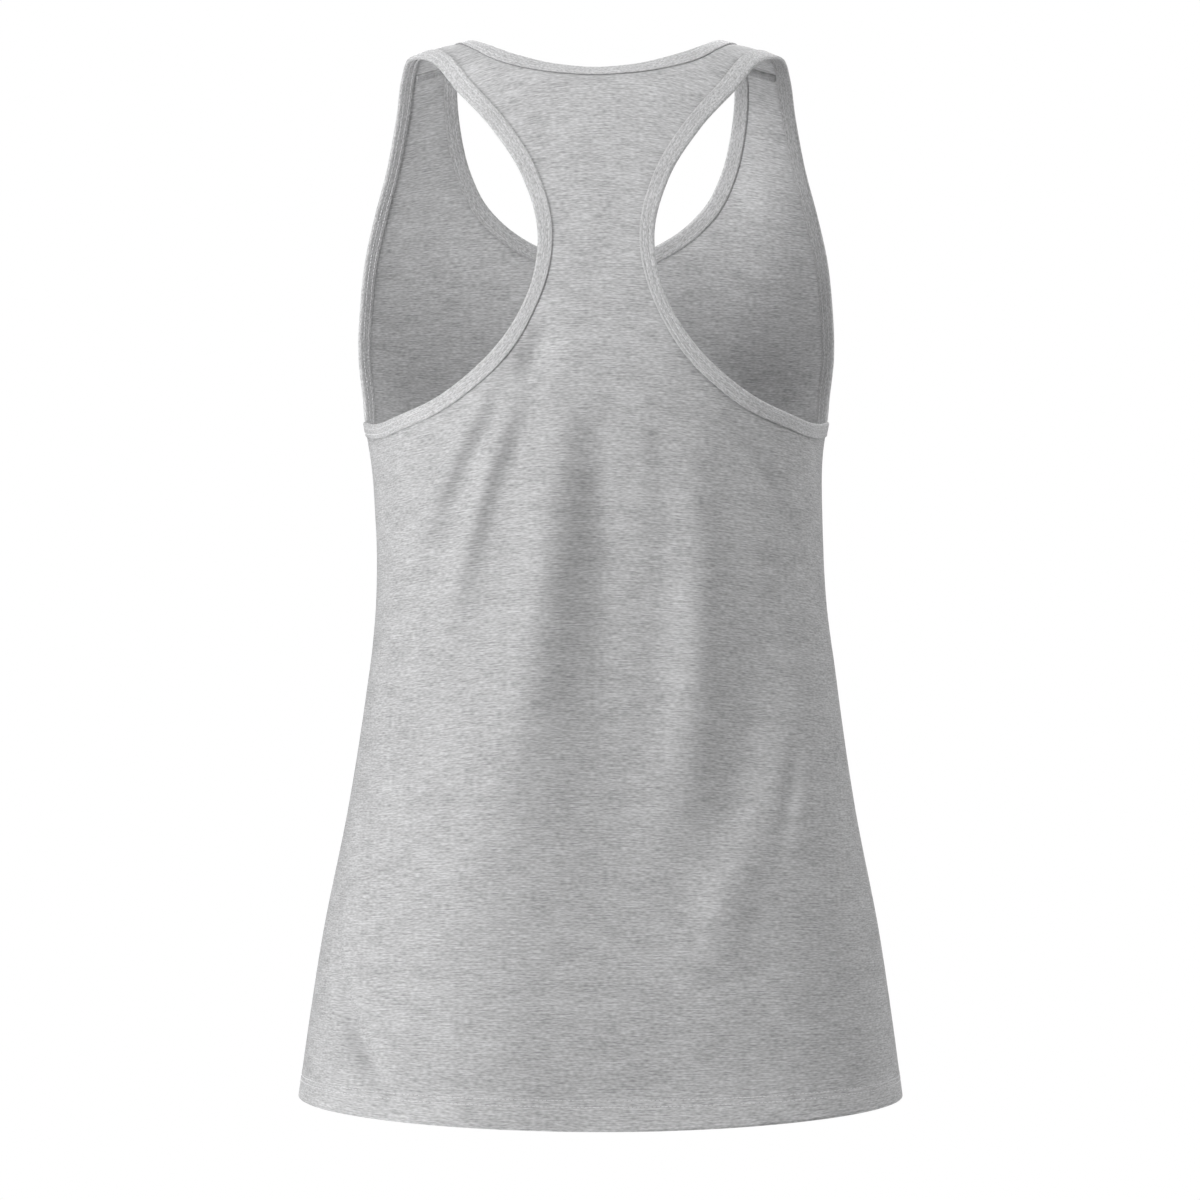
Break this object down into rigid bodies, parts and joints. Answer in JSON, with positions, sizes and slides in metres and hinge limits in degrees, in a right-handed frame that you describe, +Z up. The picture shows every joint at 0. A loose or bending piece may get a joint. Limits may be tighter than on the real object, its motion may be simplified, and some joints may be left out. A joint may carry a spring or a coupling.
{
  "type": "tank top",
  "caption": "Sleeveless racerback tank top in heathered light grey jersey, scoop neck, bound neck and armholes, stitched hem",
  "frame": {"origin": "midway between the two shoulder straps, at the height of their crests, where the wearer's shoulders hold the top up", "axes": "metres, +Z up, the front of the top faces -Y and the racerback +Y, the wearer's left is +X"},
  "size_m": [0.372, 0.2366, 0.6585],
  "materials": {
    "jersey": "light grey heathered single jersey, matt, smooth knit face",
    "binding": "the same heathered jersey as a folded and stitched bias binding, matt, slightly pebbly"
  },
  "bodies": {
    "root": {"front_panel": "jersey", "back_panel": "jersey", "neck_binding": "binding", "armhole_binding_left": "binding", "armhole_binding_right": "binding"}
  },
  "joints": []
}
